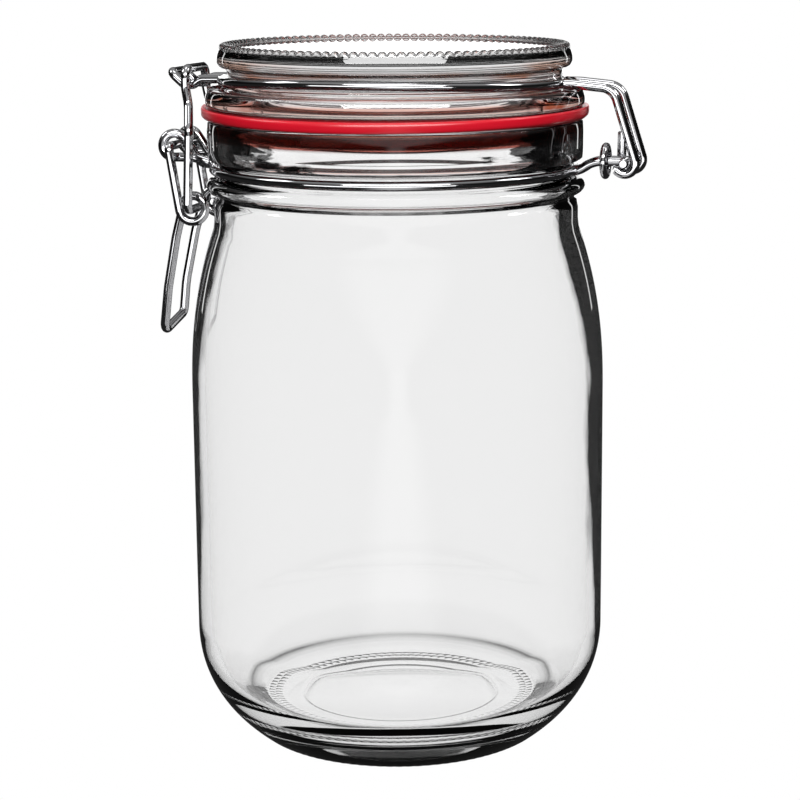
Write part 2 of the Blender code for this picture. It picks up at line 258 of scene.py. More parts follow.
LEVEL_SLOPES = (0.93, 0.98)  # how far a face's normal points up where it begins to count as level
THIN_HEIGHTS, THIN_BY_HEIGHT = (22 * MM, 125 * MM), (0.2, -0.05)
THIN_SIDES, THIN_BY_SIDE = (-50 * MM, 50 * MM), (0.04, -0.08)
WAVE_SPACING, WAVE_SIZE = 11.11, 0.14  # slow waves in the width of the painted dark outline
STREAK_SPACING = 4.545  # finer streaks round the neck that break up the painted neck shade and the painted copper
STREAK_EDGES = (0.42, 0.58)
# How far the painted shade of the neck's sides reaches in, by streak, and between which heights.
MOTTLED_SHADE_EDGES, MOTTLED_SHADE_DEPTHS = (0.3, 0.7), (0.05, 0.45)
TINT_RADIUS_BLUR = 0.1
INNER_WALL_Z, INNER_WALL_BLUR = (14, 133), 2.0
NECK_MOTTLED_SHADE_Z, NECK_MOTTLED_SHADE_BLUR = (150.5, 162), 1.0
BEYOND = 60  # a radius past every piece of glass
NOISE, RAMP = "ShaderNodeTexNoise", "ShaderNodeValToRGB"


def curve_between(start, control, end, steps):
    """Points of a quadratic curve, without its first one."""
    points = []
    for i in range(1, steps + 1):
        t = i / steps
        weights = ((1 - t) ** 2, 2 * t * (1 - t), t * t)
        ends = zip(start, control, end)
        points.append(tuple(sum(w * p for w, p in zip(weights, axis)) for axis in ends))
    return points


def shoulder(radius_below, radius_above, foot, top, steps):
    """Points up a wall that draws in slowly at first and faster towards its top."""
    points = []
    for i in range(steps + 1):
        t = i / steps
        radius = radius_below - (radius_below - radius_above) * t**SHOULDER_POWER
        points.append((radius, foot + (top - foot) * t))
    return points


def softened(outline, closed):
    """The outline with its corners cut off, as moulded rubber and glass have no sharp edge."""
    points = list(outline)
    ring = zip(points, points[1:] + (points[:1] if closed else []))
    cut = []
    for (r0, z0), (r1, z1) in ring:
        cut.append((r0 * 0.75 + r1 * 0.25, z0 * 0.75 + z1 * 0.25))
        cut.append((r0 * 0.25 + r1 * 0.75, z0 * 0.25 + z1 * 0.75))
    return cut if closed else [points[0], *cut, points[-1]]


def turned(name, outline, steps):
    """A mesh turned about Z from an outline of (radius, z) in millimetres."""
    area = sum(r0 * z1 - r1 * z0 for (r0, z0), (r1, z1) in zip(outline, outline[1:] + outline[:1]))
    if area < 0:
        outline = outline[::-1]
    turns = [math.tau * i / steps for i in range(steps)]
    vertices, rows = [], []
    for r, z in outline:
        first = len(vertices)
        if r == 0:
            vertices.append((0, 0, z * MM))
            rows.append([first] * steps)
        else:
            vertices += [(r * MM * math.cos(a), r * MM * math.sin(a), z * MM) for a in turns]
            rows.append(list(range(first, first + steps)))
    if outline[0][0] != 0:
        rows.append(rows[0])
    faces = []
    for low, high in zip(rows, rows[1:]):
        for i in range(steps):
            j = (i + 1) % steps
            faces.append(tuple(dict.fromkeys((low[i], low[j], high[j], high[i]))))
    data = bpy.data.meshes.new(name)
    data.from_pydata(vertices, [], faces)
    data.shade_smooth()
    data.set_sharp_from_angle(angle=SHARP_ANGLE)
    return data


def stand(name, data, material, slot, body, *nodes):
    """Makes the piece, gives it its material, and lets it ride in place of its CAD nodes."""
    piece = bpy.data.objects.new(name, data)
    data.materials.clear()
    data.materials.append(material)
    bpy.context.scene.collection.objects.link(piece)
    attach(piece, body)
    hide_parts(*nodes)
    return piece


def from_axis(tree, axes):
    """The distance from the jar's axis of a place that is split into its axes."""
    level = add_node(tree, "ShaderNodeCombineXYZ", axes["X"], axes["Y"])
    return add_node(tree, "ShaderNodeVectorMath", level, operation="LENGTH")


def within(tree, value, low, high, blur):
    """1 where a value in metres is between two sizes in millimetres, and 0 outside them."""
    above = add_node(tree, RANGE, value, (low - blur) * MM, (low + blur) * MM, 0.0, 1.0)
    below = add_node(tree, RANGE, value, (high - blur) * MM, (high + blur) * MM, 1.0, 0.0)
    return add_node(tree, MATH, above, below, operation="MULTIPLY")


def srgb(code):
    """A linear colour from an sRGB hex value such as 'd31226'."""
    parts = [int(code[i : i + 2], 16) / 255 for i in (0, 2, 4)]
    linear = [p / 12.92 if p <= 0.04045 else ((p + 0.055) / 1.055) ** 2.4 for p in parts]
    return (*linear, 1.0)


def soda_lime_glass(name, edge, tints_and_painted_light, mottled=None):
    """Clear soda-lime glass, grey where light goes a long way in it, and painted dark at its edges.

    Edge is how far a face has to turn away before the painted dark outline begins. A tint is the
    colour that the glass carries between two radii, by height: all over, where the outer face is
    turned away, or there in streaks; most tints are painted reflection and painted shade. Mottled
    is a range of heights where the painted dark outline reaches further in, in streaks.
    """
    material = bpy.data.materials.new(name)
    tree = empty_tree(material)
    where = add_node(tree, "ShaderNodeTexCoord").outputs["Object"]
    axes = add_node(tree, SPLIT, where).outputs
    radius = from_axis(tree, axes)

    # Two noises shape the painted shade and tints: waves that run up the wall, and streaks round it.
    tall = add_node(tree, "ShaderNodeMapping", named={"Vector": where, "Scale": (1, 1, 0.3)})
    flat = add_node(tree, "ShaderNodeMapping", named={"Vector": where, "Scale": (0.25, 0.25, 1.6)})
    waves = {"Vector": tall, "Scale": 1 / (WAVE_SPACING * MM), "Detail": 3.0}
    streaks = {"Vector": flat, "Scale": 1 / (STREAK_SPACING * MM), "Detail": 4.0}
    wave = add_node(tree, NOISE, named=waves)
    streak = add_node(tree, NOISE, named=streaks)

    # A face is turned away as seen from here, level when it faces up or down, and on the inner
    # wall when it looks to the axis. Backfacing is 1 where the ray comes from inside the glass.
    facing = add_node(tree, "ShaderNodeLayerWeight", 0.5).outputs["Facing"]
    face = add_node(tree, "ShaderNodeNewGeometry").outputs
    upwards = add_node(tree, SPLIT, face["Normal"]).outputs["Z"]
    upwards = add_node(tree, MATH, upwards, operation="ABSOLUTE")
    level = add_node(tree, RANGE, upwards, *LEVEL_SLOPES, 0.0, 1.0)
    from_inside = add_node(tree, MATH, face["Backfacing"], 2.0, operation="MULTIPLY")
    outward = add_node(tree, MATH, 1.0, from_inside, operation="SUBTRACT")
    away = add_node(tree, "ShaderNodeVectorMath", face["Normal"], where, operation="DOT_PRODUCT")
    away = add_node(tree, MATH, away, outward, operation="MULTIPLY")
    faces_axis = add_node(tree, MATH, away, 0.0, operation="LESS_THAN")
    on_wall = within(tree, axes["Z"], *INNER_WALL_Z, INNER_WALL_BLUR)
    inner_wall = add_node(tree, MATH, faces_axis, on_wall, operation="MULTIPLY")

    # The painted dark outline is thin at the heel and at the clip's side, and the inner wall has
    # none.
    waviness = add_node(tree, RANGE, wave, 0.0, 1.0, -WAVE_SIZE, WAVE_SIZE)
    turned_away = add_node(tree, MATH, facing, waviness, operation="ADD")
    turned_away = add_node(tree, MATH, turned_away, level, operation="SUBTRACT")
    by_height = add_node(tree, RANGE, axes["Z"], *THIN_HEIGHTS, *THIN_BY_HEIGHT)
    by_side = add_node(tree, RANGE, axes["X"], *THIN_SIDES, *THIN_BY_SIDE)
    for thinner in (inner_wall, by_height, by_side):
        turned_away = add_node(tree, MATH, turned_away, thinner, operation="SUBTRACT")
    # Painted shade: the neck's sides are painted dark further in, in streaks.
    if mottled:
        depth = add_node(tree, RANGE, streak, *MOTTLED_SHADE_EDGES, *MOTTLED_SHADE_DEPTHS)
        here = within(tree, axes["Z"], *mottled, NECK_MOTTLED_SHADE_BLUR)
        mottled_shade = add_node(tree, MATH, here, depth, operation="MULTIPLY")
        turned_away = add_node(tree, MATH, turned_away, mottled_shade, operation="ADD")
    # Painted shade: the glass is painted dark where its face turns away past the edge.
    tint = add_node(tree, RAMP, turned_away)
    light, dark = tint.color_ramp.elements
    light.position, light.color = edge, srgb("ffffff")
    dark.position, dark.color = edge + PAINTED_OUTLINE_BLUR, srgb(PAINTED_OUTLINE_DARK)

    height = add_node(tree, RANGE, axes["Z"], 0.0, LID_TOP * MM, 0.0, 1.0)
    not_level = add_node(tree, MATH, 1.0, level, operation="SUBTRACT")
    sideways = add_node(tree, RANGE, facing, 0.1, 0.4, 0.0, 1.0)
    sideways = add_node(tree, MATH, sideways, not_level, operation="MULTIPLY")
    outer_face = add_node(tree, MATH, 1.0, face["Backfacing"], operation="SUBTRACT")
    patchy = add_node(tree, RANGE, streak, *STREAK_EDGES, 0.2, 1.0)
    limits = {
        "all over": [],
        "turned away": [sideways, outer_face],
        "in streaks": [sideways, patchy],
    }
    # Each tint multiplies in: the glass's own grey, or painted reflection and painted shade.
    for inner, outer, manner, stops in tints_and_painted_light:
        share = within(tree, radius, inner, outer, TINT_RADIUS_BLUR)
        for limit in limits[manner]:
            share = add_node(tree, MATH, share, limit, operation="MULTIPLY")
        tint_by_height = add_node(tree, RAMP, height)
        for i, (z, colour) in enumerate(stops):
            elements = tint_by_height.color_ramp.elements
            element = elements[i] if i < 2 else elements.new(1.0)
            element.position, element.color = z / LID_TOP, srgb(colour)
        tint = add_node(tree, MIX, share, tint, tint_by_height, data_type="RGBA", blend_type="MULTIPLY")
    look = {"Base Color": tint, "Roughness": 0.0, "IOR": GLASS_IOR, "Transmission Weight": 1.0}
    shader = add_node(tree, "ShaderNodeBsdfPrincipled", named=look)
    inside = add_node(tree, "ShaderNodeVolumeAbsorption", srgb(GLASS_DEPTH), GLASS_DENSITY)
    add_node(tree, "ShaderNodeOutputMaterial", shader, inside)
    return material


def jar_outline():
    """The jar's section, from under the middle of its base, up the outside and down the inside."""
    inner, outer = BASE_RING
    ring_step = (outer - inner) / BASE_RING_STEPS
    outside = [
        (0, PUNT_HEIGHT),
        (SEAM_RADIUS * 0.6, PUNT_HEIGHT * 0.77),
        (SEAM_RADIUS - SEAM_WIDTH, PUNT_HEIGHT * 0.4),
        (SEAM_RADIUS, PUNT_HEIGHT * 0.4 - SEAM_DEPTH),
        (SEAM_RADIUS + SEAM_WIDTH, PUNT_HEIGHT * 0.38),
        (inner - 1.5, PUNT_HEIGHT * 0.1),
        *[(inner + ring_step * i, 0) for i in range(BASE_RING_STEPS + 1)],
        *curve_between((outer, 0), (BODY_RADIUS, HEEL_KNEE), (BODY_RADIUS, HEEL_TOP), 14),
        *shoulder(BODY_RADIUS, NECK_RADIUS, SHOULDER_FOOT, SHOULDER_TOP, 14),
        (NECK_RADIUS, RING_Z - 4.1),
        (NECK_RADIUS - 1.3, RING_Z - 3.0),
        (RING_RADIUS - 1.9, RING_Z - 2.2),
        (RING_RADIUS - 0.5, RING_Z - 1.3),
        (RING_RADIUS, RING_Z),
        (RING_RADIUS - 0.6, RING_Z + 1.3),
        (RING_RADIUS - 1.9, RING_Z + 2.1),
        (GROOVE_RADIUS + 0.1, GROOVE_Z - GROOVE_HALF - 0.5),
        (GROOVE_RADIUS, GROOVE_Z - GROOVE_HALF),
        (GROOVE_RADIUS, GROOVE_Z + GROOVE_HALF),
        (GROOVE_RADIUS + 0.1, GROOVE_Z + GROOVE_HALF + 0.5),
        (RIM_RADIUS - 1.0, GROOVE_Z + 2.1),
        (RIM_RADIUS, GROOVE_Z + 2.9),
        (RIM_RADIUS, RIM_TOP - 0.8),
        (RIM_RADIUS - 0.8, RIM_TOP),
    ]
    wall = BODY_RADIUS - WALL
    wall_foot = (wall, HEEL_TOP + 2)
    inside = [
        (MOUTH_RADIUS + MOUTH_FLARE, RIM_TOP),
        (MOUTH_RADIUS, RIM_TOP - 0.8),
        (MOUTH_RADIUS + MOUTH_FLARE, RIM_TOP - 3.4),
        (MOUTH_RADIUS + MOUTH_FLARE, RIM_TOP - 4.4),
        (NECK_INNER_RADIUS, RIM_TOP - 8.5),
        *reversed(shoulder(wall, NECK_INNER_RADIUS, SHOULDER_FOOT - 1, SHOULDER_TOP - 1, 12)),
        wall_foot,
        *curve_between(wall_foot, (wall, 9.2), (FLOOR_RADIUS, FLOOR_EDGE_Z), 14),
        (FLOOR_RADIUS / 2, 8.7),
        (0, FLOOR_Z),
    ]
    return outside + inside


def plain_mesh(holder):
    """The evaluated mesh of an object that is then taken away, with its modifiers or its curve."""
    bpy.context.view_layer.update()
    evaluated = holder.evaluated_get(bpy.context.evaluated_depsgraph_get())
    mesh = bpy.data.meshes.new_from_object(evaluated)
    bpy.data.objects.remove(holder)
    return mesh


def studded(data, name, **inputs):
    """Raises a ring of equal studs on a turned mesh by Geometry Nodes.

    Count and Sharpness shape them, Height is how far they rise, Radius and Reach are the middle
    and the half width of their ring, and only points within Slack of the height Level move.
    """
    tree = bpy.data.node_groups.new(name, "GeometryNodeTree")
    sizes = ("Turn", "Sharpness", "Height", "Radius", "Reach", "Level", "Slack")
    kinds = {"Geometry": "NodeSocketGeometry", "Count": "NodeSocketInt"}
    kinds |= dict.fromkeys(sizes, "NodeSocketFloat") | {"Material": "NodeSocketMaterial"}
    for label, kind in kinds.items():
        tree.interface.new_socket(label, in_out="INPUT", socket_type=kind)
    tree.interface.new_socket("Geometry", in_out="OUTPUT", socket_type="NodeSocketGeometry")
    source = add_node(tree, "NodeGroupInput").outputs
    axes = add_node(tree, SPLIT, add_node(tree, "GeometryNodeInputPosition")).outputs

    angle = add_node(tree, MATH, axes["Y"], axes["X"], operation="ARCTAN2")
    angle = add_node(tree, MATH, angle, source["Turn"], operation="ADD")
    half_turns = add_node(tree, MATH, angle, source["Count"], operation="MULTIPLY")
    half_turns = add_node(tree, MATH, half_turns, 0.5, operation="MULTIPLY")
    crest = add_node(tree, MATH, half_turns, operation="COSINE")
    crest = add_node(tree, MATH, crest, operation="ABSOLUTE")
    crest = add_node(tree, MATH, crest, source["Sharpness"], operation="POWER")

    aside = add_node(tree, MATH, from_axis(tree, axes), source["Radius"], operation="SUBTRACT")
    aside = add_node(tree, MATH, aside, source["Reach"], operation="DIVIDE")
    squared = add_node(tree, MATH, aside, aside, operation="MULTIPLY")
    width = add_node(tree, MATH, 1.0, squared, operation="SUBTRACT")
    width = add_node(tree, MATH, width, 0.0, operation="MAXIMUM")
    width = add_node(tree, MATH, width, operation="SQRT")

    off_level = add_node(tree, MATH, axes["Z"], source["Level"], operation="SUBTRACT")
    off_level = add_node(tree, MATH, off_level, operation="ABSOLUTE")
    lift = add_node(tree, MATH, off_level, source["Slack"], operation="LESS_THAN")
    for factor in (source["Height"], crest, width):
        lift = add_node(tree, MATH, lift, factor, operation="MULTIPLY")

    offset = add_node(tree, "ShaderNodeCombineXYZ", 0.0, 0.0, lift)
    moves = {"Geometry": source["Geometry"], "Offset": offset}
    raised = add_node(tree, "GeometryNodeSetPosition", named=moves)
    real = add_node(tree, "GeometryNodeRealizeInstances", raised)
    glazed = {"Geometry": real, "Material": source["Material"]}
    done = add_node(tree, "GeometryNodeSetMaterial", named=glazed)
    add_node(tree, "NodeGroupOutput", named={"Geometry": done})

    holder = bpy.data.objects.new(name, data)
    bpy.context.scene.collection.objects.link(holder)
    modifier = holder.modifiers.new(name, "NODES")
    modifier.node_group = tree
    for item in tree.interface.items_tree:
        if item.in_out == "INPUT" and item.name in inputs:
            modifier[item.identifier] = inputs[item.name]
    return plain_mesh(holder)


HEEL_PAINTED_BANDS = [  # painted dark and light bands, for the paper's light that the thick heel bends by turns
    (0, "050505"),
    (4.4, "050505"),
    (4.9, "b0b0b0"),
    (6.6, "b0b0b0"),
    (7.2, "020202"),
    (8.9, "020202"),
    (9.2, "e0e0e0"),
    (9.9, "e0e0e0"),
    (10.1, "050505"),
    (10.8, "202020"),
    (11.4, "ffffff"),
]
RIM_PAINTED_RED = [  # a painted reflection of the red rubber ring that lies on the rim
    (157.0, "ffffff"),
    (157.4, "6a2018"),
    (161.0, "7a2a20"),
    (161.4, "ffffff"),
]
BODY_GREY = [(0, "f9f9f9"), (150.5, "f9f9f9"), (155, "ffffff")]  # a trace of it, below the rim
JAR_TINTS_AND_PAINTED_LIGHT = [  # from and to radius, where it shows, and its tint by height: own grey, then painted reflection and shade
    (0, BEYOND, "all over", BODY_GREY),
    (45.6, BEYOND, "all over", RIM_PAINTED_RED),
    (38.3, BEYOND, "turned away", HEEL_PAINTED_BANDS),
]
jar_glass = soda_lime_glass(
    "clear soda-lime glass, pressed and blown", 0.62, JAR_TINTS_AND_PAINTED_LIGHT, NECK_MOTTLED_SHADE_Z
)
jar_mesh = turned("jar", softened(jar_outline(), closed=False), GLASS_STEPS)
for row, row_radius in enumerate(KNURL_ROWS):
    jar_mesh = studded(
        jar_mesh,
        "knurling",
        Count=KNURL_COUNT,
        Turn=row * math.pi / KNURL_COUNT,
        Sharpness=KNURL_SHARPNESS,
        Height=KNURL_DEPTH * MM,
        Radius=row_radius * MM,
        Reach=KNURL_REACH * MM,
        Level=0.0,
        Slack=0.05 * MM,
        Material=jar_glass,
    )
jar = stand("jar", jar_mesh, jar_glass, "clear_glass", "jar", "jar_glass")
# A card keeps the front softbox off the jar, so that its shoulder mirrors no hard edged window.
flagged = bpy.data.collections.new("flagged off the front softbox")
flagged.objects.link(jar)
flagged.collection_objects[0].light_linking.link_state = "EXCLUDE"
softboxes["softbox_front"].light_linking.receiver_collection = flagged

# ---- The neck wire and its collar ---------------------------------------------------------
# One length of bright drawn steel wire sprung into the groove of the neck. At the back its two
# ends run out through a small ring and turn apart as the hinge bar; in front it is coiled into
# two eyes, one each side, that carry the lever.
WIRE_RADIUS = 1.2
WIRE_SIDES = 20
WIRE_END_CUT, WIRE_END_WIDTH = 0.3, 0.72  # of its radius, where a cut end is rounded
WIRE_SHARP_ANGLE = math.radians(35)
STEEL = "a9a9ab"
HAZE_SPACING = 1.111  # the real marks of the die are finer, and wouldn't show
COLLAR_WIRE_RADIUS = 0.9
FIT_GAP = 0.3
NECK_WIRE_CIRCLE = GROOVE_RADIUS + FIT_GAP + WIRE_RADIUS
NECK_OPEN_Y = 5.6  # half the gap where the circle is open to the hinge
NECK_LATCH_Y = 11.5  # where the circle leaves the groove for the eyes
HINGE_X, HINGE_Z = 60.7, 151.9
CROSS_END_Y = 7.6
RUN_Y = WIRE_RADIUS + 0.18  # the two ends run side by side through the collar
COLLAR_X, COLLAR_RADIUS = 54.9, 3.75
COLLAR_STEPS = 48
PIVOT_A = (-58.4, 154.1)  # x and z of the eyes
EYE_RADIUS = 3.0
EYE_Y = (7.5, 4.9)  # where each eye begins and ends
EYE_LEAVES = math.radians(35)
NEAR, FAR = -1, 1


def rounded(corners, step_angle=7):
    """A path through the corners, each (x, y, z, bend radius), with an arc at each bend."""
    points = [Vector(corners[0][:3])]
    for before, here, after in zip(corners, corners[1:], corners[2:]):
        corner, radius = Vector(here[:3]), here[3]
        if not radius:
            points.append(corner)
            continue
        back = (Vector(before[:3]) - corner).normalized()
        onward = (Vector(after[:3]) - corner).normalized()
        turn = math.pi - back.angle(onward)
        setback = radius * math.tan(turn / 2)
        centre = corner + (back + onward).normalized() * (radius / math.cos(turn / 2))
        first = corner + back * setback - centre
        last = corner + onward * setback - centre
        steps = max(1, math.ceil(math.degrees(turn) / step_angle))
        side = (last - first * math.cos(turn)) / math.sin(turn)
        for i in range(steps + 1):
            angle = turn * i / steps
            points.append(centre + first * math.cos(angle) + side * math.sin(angle))
    points.append(Vector(corners[-1][:3]))
    return points


def flat_arc(radius, z, start, end, rise=0.0, steps=110):
    """Corners of an arc about the jar's axis, level or rising towards its front and back."""
    angles = [start + (end - start) * i / steps for i in range(steps + 1)]
    return [
        (radius * math.cos(a), radius * math.sin(a), z + rise * math.sin(a) ** 2, 0) for a in angles
    ]


def coil(centre, radius, start, end, y_start, y_end, steps=44):
    """Corners of a turn about a cross axis, creeping along Y. Angles run from +X towards +Z."""
    corners = []
    for i in range(steps + 1):
        t = i / steps
        angle = start + (end - start) * t
        x, z = centre[0] + radius * math.cos(angle), centre[1] + radius * math.sin(angle)
        corners.append((x, y_start + (y_end - y_start) * t, z, 0))
    return corners


def bent_wire(name, points, radius=WIRE_RADIUS, closed=False):
    """The mesh of a round wire along the points, with its cut ends slightly rounded."""
    data = bpy.data.curves.new(name, "CURVE")
    data.dimensions = "3D"
    data.bevel_depth = radius * MM
    data.bevel_resolution = (WIRE_SIDES - 4) // 2
    data.use_fill_caps = True
    path = [Vector(p) for p in points]
    widths = [1.0] * len(path)
    if not closed:
        cut = WIRE_END_CUT * radius
        start = path[0] + (path[1] - path[0]).normalized() * cut
        end = path[-1] + (path[-2] - path[-1]).normalized() * cut
        path = [path[0], start, *path[1:-1], end, path[-1]]
        widths = [WIRE_END_WIDTH, *[1.0] * (len(path) - 2), WIRE_END_WIDTH]
    spline = data.splines.new("POLY")
    spline.points.add(len(path) - 1)
    spline.use_cyclic_u = closed
    spline.use_smooth = True
    for target, point, width in zip(spline.points, path, widths):
        target.co = (*(point * MM), 1)
        target.radius = width
    holder = bpy.data.objects.new(name, data)
    bpy.context.scene.collection.objects.link(holder)
    mesh = plain_mesh(holder)
    mesh.name = name
    mesh.shade_smooth()
    mesh.set_sharp_from_angle(angle=WIRE_SHARP_ANGLE)
    return mesh


def drawn_steel():
    """Bright drawn stainless wire: mirror-like, with the faintest haze from the drawing die."""
    material = bpy.data.materials.new("bright drawn stainless wire")
    tree = empty_tree(material)
    where = add_node(tree, "ShaderNodeTexCoord").outputs["Object"]
    fine = {"Vector": where, "Scale": 1 / (HAZE_SPACING * MM), "Detail": 3.0}
    haze = add_node(tree, NOISE, named=fine)
    rough = add_node(tree, RANGE, haze, 0.0, 1.0, 0.04, 0.1)
    look = {"Base Color": srgb(STEEL), "Metallic": 1.0, "Roughness": rough}
    shader = add_node(tree, "ShaderNodeBsdfPrincipled", named=look)
    add_node(tree, "ShaderNodeOutputMaterial", shader)
    return material


def neck_wire_path():
    """The neck wire's near half, from its hinge end round to the front, and its mirror image."""
    run_z = PIVOT_A[1] - EYE_RADIUS
    ring, groove = NECK_WIRE_CIRCLE, GROOVE_Z
    from_hinge = math.asin(NECK_OPEN_Y / ring)
    to_latch = math.pi - math.asin(NECK_LATCH_Y / ring)
    eye_end = (
        PIVOT_A[0] + EYE_RADIUS * math.cos(EYE_LEAVES),
        PIVOT_A[1] + EYE_RADIUS * math.sin(EYE_LEAVES),
    )
    fall = eye_end[1] - groove
    near = rounded(
        [
            (HINGE_X, -CROSS_END_Y, HINGE_Z, 0),
            (HINGE_X, -RUN_Y, HINGE_Z, 1.7),
            (COLLAR_X - 3, -RUN_Y, HINGE_Z, 8),
            (ring + 1.5, -RUN_Y, groove, 5),
            (ring, -RUN_Y, groove, 0.9),
            *flat_arc(ring, groove, -from_hinge, -to_latch),
            (-math.sqrt(ring**2 - EYE_Y[0] ** 2), -EYE_Y[0], groove, 2.6),
            (PIVOT_A[0] + 6, -EYE_Y[0], run_z, 8),
            *coil(PIVOT_A, EYE_RADIUS, math.radians(270), EYE_LEAVES, -EYE_Y[0], -EYE_Y[1]),
            (eye_end[0] + fall * math.tan(EYE_LEAVES), -EYE_Y[1], groove, 3.0),
            (-ring, -EYE_Y[1], groove, 2.4),
            (-ring - 0.1, 0, groove, 0),
        ]
    )
    far = [Vector((p.x, -p.y, p.z)) for p in near]
    return near[:-1] + far[::-1][1:]


def collar_path():
    """A circle round the two ends of the neck wire."""
    turns = [math.tau * i / COLLAR_STEPS for i in range(COLLAR_STEPS)]
    radius = COLLAR_RADIUS
    return [(COLLAR_X, radius * math.cos(a), HINGE_Z + radius * math.sin(a)) for a in turns]


steel = drawn_steel()
neck_loop = bent_wire("neck_loop", neck_wire_path())
collar = bent_wire("collar_ring", collar_path(), COLLAR_WIRE_RADIUS, closed=True)
wires = [
    stand("neck_loop", neck_loop, steel, "steel_wire", "jar", "neck_wire"),
    stand("collar_ring", collar, steel, "steel_wire", "jar", "neck_wire_collar"),
]

# ---- The rubber ring ----------------------------------------------------------------------
# A flat ring of red natural rubber, cut from a moulded sleeve and squeezed between rim and lid.
# It stands a little proud of both, with softly rounded edges.
GASKET_RADII = (41.7, 49.6)
SQUEEZE = 0.03  # how far the squeezed rubber wets the glass above and below it
LIP_DROP = 0.3  # how far its free edge sags
LIP_CURL = 1.1  # how far that edge curls up again at the hinge and the clip
GASKET_Z = (RIM_TOP + FIT_GAP, RIM_TOP + FIT_GAP + 2.7)
LID_SEAL_Z = GASKET_Z[1] + FIT_GAP
FLANGE_RADIUS, FLANGE_TOP = 48.6, 169.8
# The last red is painted shade, for rubber squeezed under the glass.
RED_DEEP, RED_BRIGHT, RED_PAINTED_SHADE = "b60d1f", "c41427", "6a1016"
PAINTED_SHADE_RADII = (48.3, 48.7)  # painted shade darkens the rubber inside this, where it lies under the glass
CLOUD_SPACING = 8.333  # faint clouds in the colour
GRAIN_SPACING, GRAIN_DEPTH = 0.4, 0.1  # the matt of the mould, coarser than it is, so that it shows


def gasket_outline():
    """The ring's section: squeezed flat under the flange, with a free lip that sags outside it."""
    inner, outer = GASKET_RADII
    lip = FLANGE_RADIUS - 0.2
    lip_low, lip_high = GASKET_Z[0] - LIP_DROP, GASKET_Z[1] - LIP_DROP
    low, high = RIM_TOP - SQUEEZE, LID_SEAL_Z + SQUEEZE
    return [
        (lip - 0.8, high),
        (lip, lip_high),
        (outer - 0.5, lip_high),
        (outer, lip_high - 0.6),
        (outer, lip_low + 0.3),
        (outer - 0.3, lip_low),
        (lip, lip_low),
        (lip - 0.8, low),
        (inner + 0.5, low),
        (inner, low + 0.5),
        (inner, high - 0.5),
        (inner + 0.5, high),
    ]


def red_rubber():
    """Moulded natural rubber: saturated red with a soft sheen, painted deep red as shade where it
    lies under the glass.
    """
    material = bpy.data.materials.new("moulded red natural rubber")
    tree = empty_tree(material)
    where = add_node(tree, "ShaderNodeTexCoord").outputs["Object"]
    clouds = {"Vector": where, "Scale": 1 / (CLOUD_SPACING * MM), "Detail": 4.0}
    grains = {"Vector": where, "Scale": 1 / (GRAIN_SPACING * MM), "Detail": 2.0}
    cloud = add_node(tree, NOISE, named=clouds)
    grain = add_node(tree, NOISE, named=grains)
    open_red = add_node(tree, MIX, cloud, srgb(RED_DEEP), srgb(RED_BRIGHT), data_type="RGBA")
    radius = from_axis(tree, add_node(tree, SPLIT, where).outputs)
    shade_from, shade_to = PAINTED_SHADE_RADII
    in_painted_shade = add_node(tree, RANGE, radius, shade_from * MM, shade_to * MM, 1.0, 0.0)
    colour = add_node(tree, MIX, in_painted_shade, open_red, srgb(RED_PAINTED_SHADE), data_type="RGBA")
    relief = {"Height": grain, "Strength": 0.12, "Distance": GRAIN_DEPTH * MM}
    bump = add_node(tree, "ShaderNodeBump", named=relief)
    look = {"Base Color": colour, "Roughness": 0.28, "Normal": bump}
    shader = add_node(tree, "ShaderNodeBsdfPrincipled", named=look)
    add_node(tree, "ShaderNodeOutputMaterial", shader)
    return material


def curl_lip(data):
    """Bends the ring's free edge up towards the hinge and the clip, where the wires draw it."""
    for vertex in data.vertices:
        x, y = vertex.co.x, vertex.co.y
        past_rim = max(math.hypot(x, y) / MM - RIM_RADIUS, 0)
        free = past_rim / (GASKET_RADII[1] - RIM_RADIUS)
        vertex.co.z += LIP_CURL * MM * free * x * x / (x * x + y * y)


ring_mesh = turned("rubber_ring", softened(gasket_outline(), closed=True), GLASS_STEPS)
curl_lip(ring_mesh)
stand("rubber_ring", ring_mesh, red_rubber(), "red_rubber", "lid", "gasket")

# ---- The lid's glass ----------------------------------------------------------------------
# A pressed glass disc with a waist for its wire, a flange that sits on the rubber ring and a low
# plug that goes into the mouth. A ring of small beads runs round its top.
LID_STEPS = 720
BEAD_COUNT, BEAD_HEIGHT, BEAD_REACH = 120, 0.8, 1.3
BEAD_SHARPNESS, BEAD_SLACK = 0.6, 0.6
WAIST_RADIUS = 42.7
DISC_RADIUS, DISC_FOOT, DISC_TOP = 45.4, 174.8, 179.9
BEAD_RADIUS, BEAD_FOOT = DISC_RADIUS - 1.6, LID_TOP - BEAD_HEIGHT
PLUG_RADIUS, PLUG_FOOT = 40.9, 157.2
RECESS_RADIUS, RECESS_TOP = 37.0, 174.3


